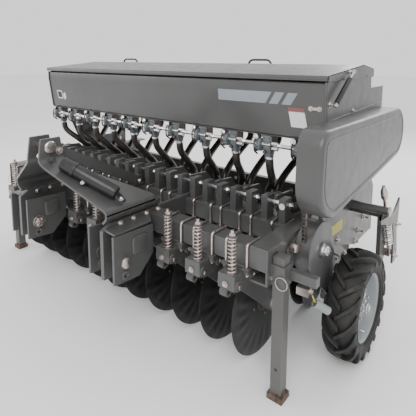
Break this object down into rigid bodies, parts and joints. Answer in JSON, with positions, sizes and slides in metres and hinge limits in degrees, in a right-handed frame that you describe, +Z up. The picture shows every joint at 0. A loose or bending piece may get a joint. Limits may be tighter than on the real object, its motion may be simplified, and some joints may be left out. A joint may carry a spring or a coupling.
{
  "type": "three-point no-till seed drill",
  "caption": "Mounted no-till seed drill with a long lidded hopper, coulter discs, double-disc openers, press wheels and a spring-loaded drive wheel.",
  "frame": {"origin": "middle of the bounding box at ground level", "axes": "+X along the drill towards the drive wheel, +Y rearward away from the tractor, +Z up"},
  "size_m": [2.24, 1.56, 1.2844],
  "materials": {
    "grey_paint": "semi-gloss dark grey powder coat",
    "zinc_plate": "zinc plated, slightly pink and dull",
    "black_plastic": "satin black",
    "cup_grey": "satin blue-grey casting",
    "tyre_rubber": "matte",
    "rim_paint": "satin light grey",
    "disc_steel": "dark mill scale with an oiled sheen",
    "wheel_rubber": "matte"
  },
  "bodies": {
    "frame": {"front_toolbar_left": "grey_paint", "front_toolbar_centre": "grey_paint", "front_toolbar_right": "grey_paint", "rear_toolbar_left": "grey_paint", "rear_toolbar_centre": "grey_paint", "rear_toolbar_right": "grey_paint", "side_rail_left": "grey_paint", "side_rail_right": "grey_paint", "hitch_beam_left": "grey_paint", "hitch_beam_right": "grey_paint", "hitch_plates_left": "grey_paint", "hitch_plates_right": "grey_paint", "mast_arm_left": "grey_paint", "mast_arm_right": "grey_paint", "mast_backstay": "grey_paint", "hopper_front_panel": "grey_paint", "hopper_floor_and_back": "grey_paint", "hopper_end_left": "grey_paint", "hopper_end_right": "grey_paint", "hopper_leg_left": "grey_paint", "hopper_leg_right": "grey_paint", "upper_chain_guard": "grey_paint", "lower_chain_guard": "grey_paint", "drive_side_plate": "grey_paint", "rear_cross_beam": "grey_paint", "drive_wheel_arm": "grey_paint", "top_link_pin": "zinc_plate", "wheel_spring_rod": "zinc_plate", "manual_holder": "black_plastic", "rear_meter_row": "black_plastic", "seed_cup_row": "cup_grey"},
    "lid": {"hopper_lid": "grey_paint"},
    "strut_barrel": {"strut_barrel": "black_plastic"},
    "strut_rod": {"strut_rod": "zinc_plate"},
    "stand_left": {"parking_stand_left": "grey_paint"},
    "stand_right": {"parking_stand_right": "grey_paint"},
    "drive_wheel": {"drive_wheel_tyre": "tyre_rubber", "drive_wheel_rim": "rim_paint"},
    "coulter_disc_01": {"coulter_disc_01": "disc_steel"},
    "coulter_disc_02": {"coulter_disc_02": "disc_steel"},
    "coulter_disc_03": {"coulter_disc_03": "disc_steel"},
    "coulter_disc_04": {"coulter_disc_04": "disc_steel"},
    "coulter_disc_05": {"coulter_disc_05": "disc_steel"},
    "coulter_disc_06": {"coulter_disc_06": "disc_steel"},
    "coulter_disc_07": {"coulter_disc_07": "disc_steel"},
    "coulter_disc_08": {"coulter_disc_08": "disc_steel"},
    "coulter_disc_09": {"coulter_disc_09": "disc_steel"},
    "coulter_disc_10": {"coulter_disc_10": "disc_steel"},
    "coulter_disc_11": {"coulter_disc_11": "disc_steel"},
    "press_wheel_01": {"press_wheel_01": "wheel_rubber"},
    "press_wheel_02": {"press_wheel_02": "wheel_rubber"},
    "press_wheel_03": {"press_wheel_03": "wheel_rubber"},
    "press_wheel_04": {"press_wheel_04": "wheel_rubber"},
    "press_wheel_05": {"press_wheel_05": "wheel_rubber"},
    "press_wheel_06": {"press_wheel_06": "wheel_rubber"},
    "press_wheel_07": {"press_wheel_07": "wheel_rubber"},
    "press_wheel_08": {"press_wheel_08": "wheel_rubber"},
    "press_wheel_09": {"press_wheel_09": "wheel_rubber"},
    "press_wheel_10": {"press_wheel_10": "wheel_rubber"},
    "press_wheel_11": {"press_wheel_11": "wheel_rubber"}
  },
  "joints": [
    {"name": "coulter_disc_01_spin", "type": "hinge", "parent": "frame", "child": "coulter_disc_01", "pos_m": [-0.937, -0.185, 0.242], "axis": [1, 0, 0], "continuous": true},
    {"name": "coulter_disc_02_spin", "type": "hinge", "parent": "frame", "child": "coulter_disc_02", "pos_m": [-0.771, -0.185, 0.242], "axis": [1, 0, 0], "continuous": true},
    {"name": "coulter_disc_03_spin", "type": "hinge", "parent": "frame", "child": "coulter_disc_03", "pos_m": [-0.605, -0.185, 0.242], "axis": [1, 0, 0], "continuous": true},
    {"name": "coulter_disc_04_spin", "type": "hinge", "parent": "frame", "child": "coulter_disc_04", "pos_m": [-0.439, -0.185, 0.242], "axis": [1, 0, 0], "continuous": true},
    {"name": "coulter_disc_05_spin", "type": "hinge", "parent": "frame", "child": "coulter_disc_05", "pos_m": [-0.273, -0.185, 0.242], "axis": [1, 0, 0], "continuous": true},
    {"name": "coulter_disc_06_spin", "type": "hinge", "parent": "frame", "child": "coulter_disc_06", "pos_m": [-0.107, -0.185, 0.242], "axis": [1, 0, 0], "continuous": true},
    {"name": "coulter_disc_07_spin", "type": "hinge", "parent": "frame", "child": "coulter_disc_07", "pos_m": [0.059, -0.185, 0.242], "axis": [1, 0, 0], "continuous": true},
    {"name": "coulter_disc_08_spin", "type": "hinge", "parent": "frame", "child": "coulter_disc_08", "pos_m": [0.225, -0.185, 0.242], "axis": [1, 0, 0], "continuous": true},
    {"name": "coulter_disc_09_spin", "type": "hinge", "parent": "frame", "child": "coulter_disc_09", "pos_m": [0.391, -0.185, 0.242], "axis": [1, 0, 0], "continuous": true},
    {"name": "coulter_disc_10_spin", "type": "hinge", "parent": "frame", "child": "coulter_disc_10", "pos_m": [0.557, -0.185, 0.242], "axis": [1, 0, 0], "continuous": true},
    {"name": "coulter_disc_11_spin", "type": "hinge", "parent": "frame", "child": "coulter_disc_11", "pos_m": [0.723, -0.185, 0.242], "axis": [1, 0, 0], "continuous": true},
    {"name": "press_wheel_01_spin", "type": "hinge", "parent": "frame", "child": "press_wheel_01", "pos_m": [-0.917, 0.625, 0.155], "axis": [1, 0, 0], "continuous": true},
    {"name": "press_wheel_02_spin", "type": "hinge", "parent": "frame", "child": "press_wheel_02", "pos_m": [-0.751, 0.625, 0.155], "axis": [1, 0, 0], "continuous": true},
    {"name": "press_wheel_03_spin", "type": "hinge", "parent": "frame", "child": "press_wheel_03", "pos_m": [-0.585, 0.625, 0.155], "axis": [1, 0, 0], "continuous": true},
    {"name": "press_wheel_04_spin", "type": "hinge", "parent": "frame", "child": "press_wheel_04", "pos_m": [-0.419, 0.625, 0.155], "axis": [1, 0, 0], "continuous": true},
    {"name": "press_wheel_05_spin", "type": "hinge", "parent": "frame", "child": "press_wheel_05", "pos_m": [-0.253, 0.625, 0.155], "axis": [1, 0, 0], "continuous": true},
    {"name": "press_wheel_06_spin", "type": "hinge", "parent": "frame", "child": "press_wheel_06", "pos_m": [-0.087, 0.625, 0.155], "axis": [1, 0, 0], "continuous": true},
    {"name": "press_wheel_07_spin", "type": "hinge", "parent": "frame", "child": "press_wheel_07", "pos_m": [0.079, 0.625, 0.155], "axis": [1, 0, 0], "continuous": true},
    {"name": "press_wheel_08_spin", "type": "hinge", "parent": "frame", "child": "press_wheel_08", "pos_m": [0.245, 0.625, 0.155], "axis": [1, 0, 0], "continuous": true},
    {"name": "press_wheel_09_spin", "type": "hinge", "parent": "frame", "child": "press_wheel_09", "pos_m": [0.411, 0.625, 0.155], "axis": [1, 0, 0], "continuous": true},
    {"name": "press_wheel_10_spin", "type": "hinge", "parent": "frame", "child": "press_wheel_10", "pos_m": [0.577, 0.625, 0.155], "axis": [1, 0, 0], "continuous": true},
    {"name": "press_wheel_11_spin", "type": "hinge", "parent": "frame", "child": "press_wheel_11", "pos_m": [0.743, 0.625, 0.155], "axis": [1, 0, 0], "continuous": true},
    {"name": "drive_wheel_spin", "type": "hinge", "parent": "frame", "child": "drive_wheel", "pos_m": [1.05, 0.05, 0.232], "axis": [1, 0, 0], "continuous": true},
    {"name": "lid_hinge", "type": "hinge", "parent": "frame", "child": "lid", "pos_m": [-0.087, -0.099, 1.205], "axis": [1, 0, 0], "range_deg": [0, 80]},
    {"name": "strut_foot", "type": "hinge", "parent": "frame", "child": "strut_barrel", "pos_m": [0.963, -0.058, 1.105], "axis": [1, 0, 0], "range_deg": [0, 61.5]},
    {"name": "strut_slide", "type": "slide", "parent": "strut_barrel", "child": "strut_rod", "axis": [0, 0.8287, 0.5597], "range_m": [0, 0.106]},
    {"name": "stand_left_slide", "type": "slide", "parent": "frame", "child": "stand_left", "axis": [0, 0, 1], "range_m": [0, 0.38]},
    {"name": "stand_right_slide", "type": "slide", "parent": "frame", "child": "stand_right", "axis": [0, 0, 1], "range_m": [0, 0.38]}
  ],
  "couplings": [
    {"joint": "strut_foot", "follows": "lid_hinge", "ratio": 0.7596},
    {"joint": "strut_slide", "follows": "lid_hinge", "m_per_rad": 0.0749}
  ]
}
